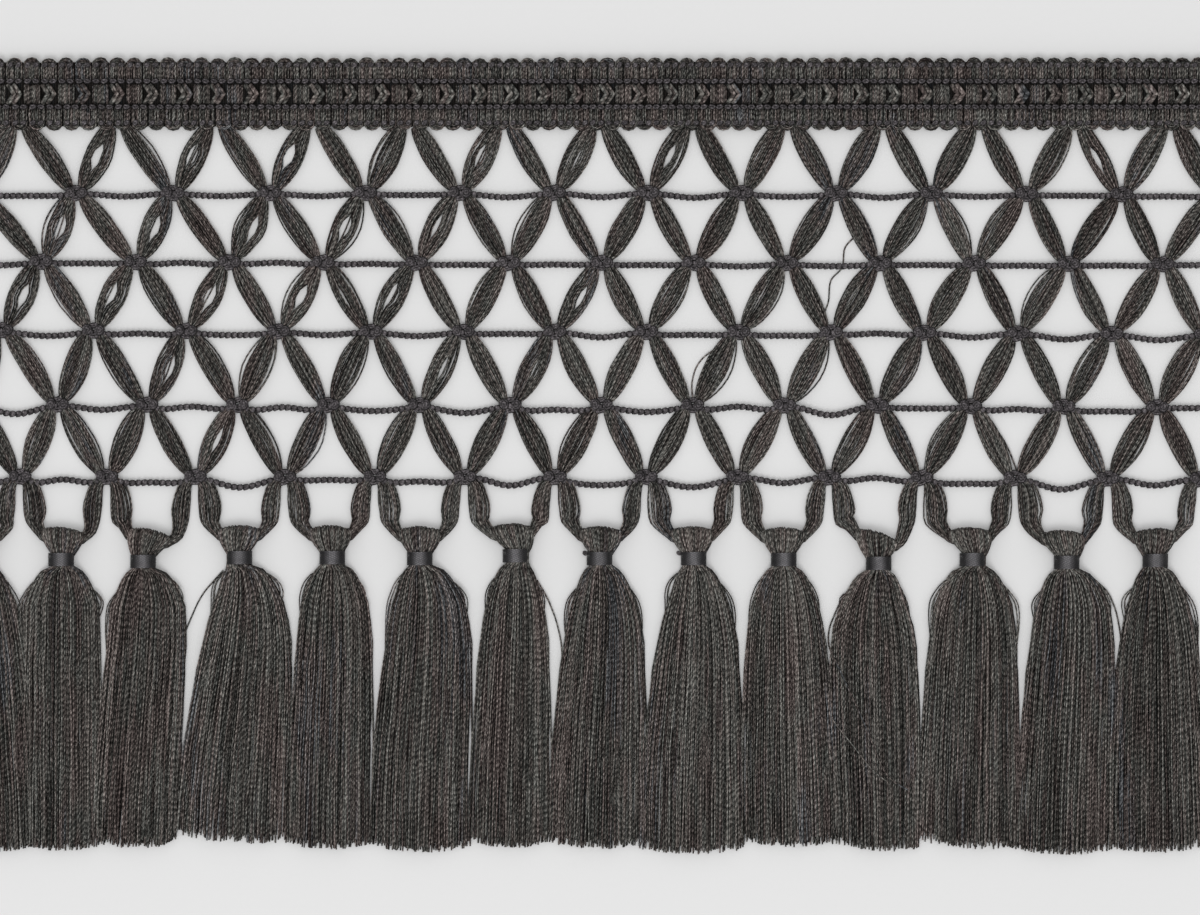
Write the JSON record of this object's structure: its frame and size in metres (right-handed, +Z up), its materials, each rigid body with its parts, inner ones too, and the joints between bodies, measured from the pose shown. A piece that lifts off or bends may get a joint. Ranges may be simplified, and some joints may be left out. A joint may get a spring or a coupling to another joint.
{
  "type": "tassel fringe trim",
  "caption": "Flat furnishing trim: a braided heading with beaded edges, an open lattice of yarn bundles knotted onto chain cords, and a row of bound tassels hung from loops.",
  "frame": {"origin": "centre of the footprint, on the surface that the trim lies on face up", "axes": "+X along the trim, +Y from the tassels to the heading, +Z up out of the trim's face"},
  "size_m": [0.28, 0.1666, 0.0047],
  "materials": {
    "heading_yarn": "matt ribbed braid in dark grey-brown yarn",
    "bundle_yarn": "two-ply heather yarn in dark grey-brown, with a low sheen",
    "tassel_yarn": "two-ply heather yarn in dark grey-brown, with a low sheen",
    "binding_thread": "satin thread in dark blue-grey"
  },
  "bodies": {
    "root": {"heading": "heading_yarn", "lattice": "bundle_yarn", "tassel_00": "tassel_yarn", "tassel_01": "tassel_yarn", "tassel_02": "tassel_yarn", "tassel_03": "tassel_yarn", "tassel_04": "tassel_yarn", "tassel_05": "tassel_yarn", "tassel_06": "tassel_yarn", "tassel_07": "tassel_yarn", "tassel_08": "tassel_yarn", "tassel_09": "tassel_yarn", "tassel_10": "tassel_yarn", "tassel_11": "tassel_yarn", "tassel_12": "tassel_yarn", "tassel_13": "tassel_yarn", "binding_00": "binding_thread", "binding_01": "binding_thread", "binding_02": "binding_thread", "binding_03": "binding_thread", "binding_04": "binding_thread", "binding_05": "binding_thread", "binding_06": "binding_thread", "binding_07": "binding_thread", "binding_08": "binding_thread", "binding_09": "binding_thread", "binding_10": "binding_thread", "binding_11": "binding_thread", "binding_12": "binding_thread", "binding_13": "binding_thread"}
  },
  "joints": []
}
